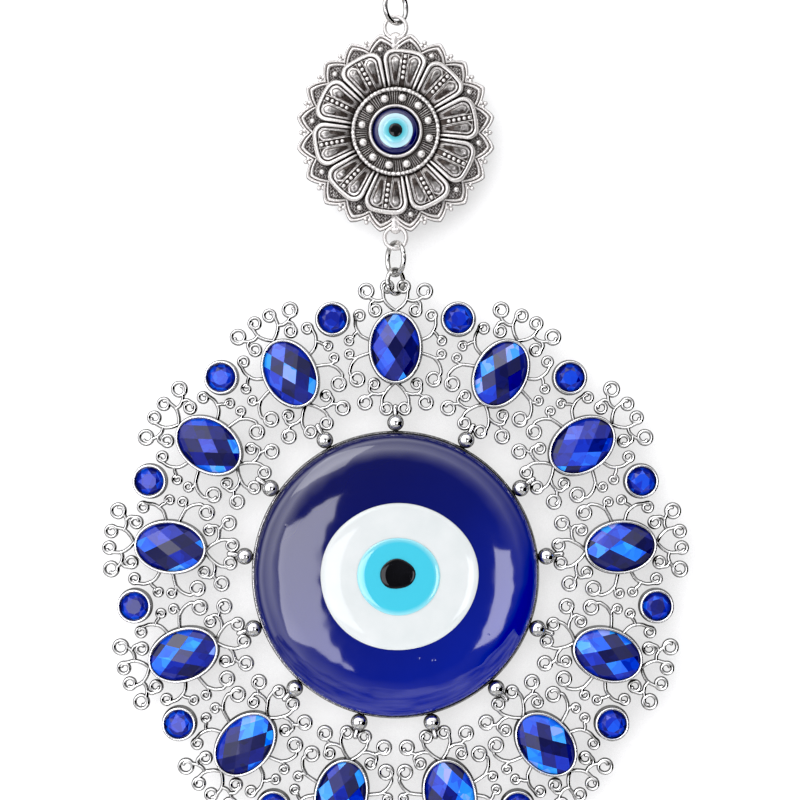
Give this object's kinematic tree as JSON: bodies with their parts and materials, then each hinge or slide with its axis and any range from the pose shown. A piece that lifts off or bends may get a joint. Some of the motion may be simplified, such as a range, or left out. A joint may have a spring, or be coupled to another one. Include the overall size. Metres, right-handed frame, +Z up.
{
  "type": "evil eye ornament",
  "caption": "Hanging wall ornament: a glass eye in a pierced silver ring set with blue faceted stones, linked below a petalled medallion with a smaller eye.",
  "frame": {"origin": "centre of the ring frame, on the flat back of the seat that holds the large glass eye", "axes": "+Z up along the hanging line, towards the hanging ring; +Y out of the back, towards the wall; the face looks along -Y; +X to the viewer's right"},
  "size_m": [0.1258, 0.012, 0.1866],
  "materials": {
    "bright_silver": "bright silver-plated casting",
    "antique_silver": "oxidised silver-plated casting with dark recesses and rubbed ridges",
    "link_wire": "bright plated round wire",
    "cobalt_glass": "glossy pressed cobalt glass",
    "white_glass": "glossy opaque white glass",
    "pale_blue_glass": "glossy opaque pale blue glass",
    "turquoise_glass": "glossy opaque light blue glass",
    "black_glass": "glossy black glass",
    "sapphire_stone": "foil-backed faceted sapphire-blue stone"
  },
  "bodies": {
    "hanging_ring": {"hanging_ring": "link_wire"},
    "medallion": {"medallion_plate": "antique_silver", "medallion_flower": "antique_silver", "medallion_rosette": "antique_silver", "small_eye_base": "cobalt_glass", "small_eye_white": "pale_blue_glass", "small_eye_iris": "turquoise_glass", "small_eye_pupil": "black_glass"},
    "upper_link": {"upper_jump_ring": "link_wire"},
    "lower_link": {"lower_jump_ring": "link_wire"},
    "frame": {"ring_frame": "bright_silver", "glass_eye_base": "cobalt_glass", "glass_eye_white": "white_glass", "glass_eye_iris": "turquoise_glass", "glass_eye_pupil": "black_glass", "oval_stone_01": "sapphire_stone", "oval_stone_02": "sapphire_stone", "oval_stone_03": "sapphire_stone", "oval_stone_04": "sapphire_stone", "oval_stone_05": "sapphire_stone", "oval_stone_06": "sapphire_stone", "oval_stone_07": "sapphire_stone", "oval_stone_08": "sapphire_stone", "oval_stone_09": "sapphire_stone", "oval_stone_10": "sapphire_stone", "oval_stone_11": "sapphire_stone", "oval_stone_12": "sapphire_stone", "oval_stone_13": "sapphire_stone", "round_stone_01": "sapphire_stone", "round_stone_02": "sapphire_stone", "round_stone_03": "sapphire_stone", "round_stone_04": "sapphire_stone", "round_stone_05": "sapphire_stone", "round_stone_06": "sapphire_stone", "round_stone_07": "sapphire_stone", "round_stone_08": "sapphire_stone", "round_stone_09": "sapphire_stone", "round_stone_10": "sapphire_stone", "round_stone_11": "sapphire_stone", "round_stone_12": "sapphire_stone", "round_stone_13": "sapphire_stone"}
  },
  "joints": [
    {"name": "medallion_swing", "type": "hinge", "parent": "hanging_ring", "child": "medallion", "pos_m": [0, -0.0006, 0.12091], "axis": [0.766, -0.6428, 0], "range_deg": [-60, 60]},
    {"name": "upper_link_sway", "type": "hinge", "parent": "medallion", "child": "upper_link", "pos_m": [0, -0.0006, 0.07167], "axis": [0, 1, 0], "range_deg": [-35, 35]},
    {"name": "lower_link_twist", "type": "hinge", "parent": "upper_link", "child": "lower_link", "pos_m": [0, -0.0006, 0.06235], "axis": [0, 0, 1], "range_deg": [-25, 25]},
    {"name": "frame_swing", "type": "hinge", "parent": "lower_link", "child": "frame", "pos_m": [0, -0.0006, 0.06235], "axis": [0.766, -0.6428, 0], "range_deg": [-35, 35]}
  ]
}
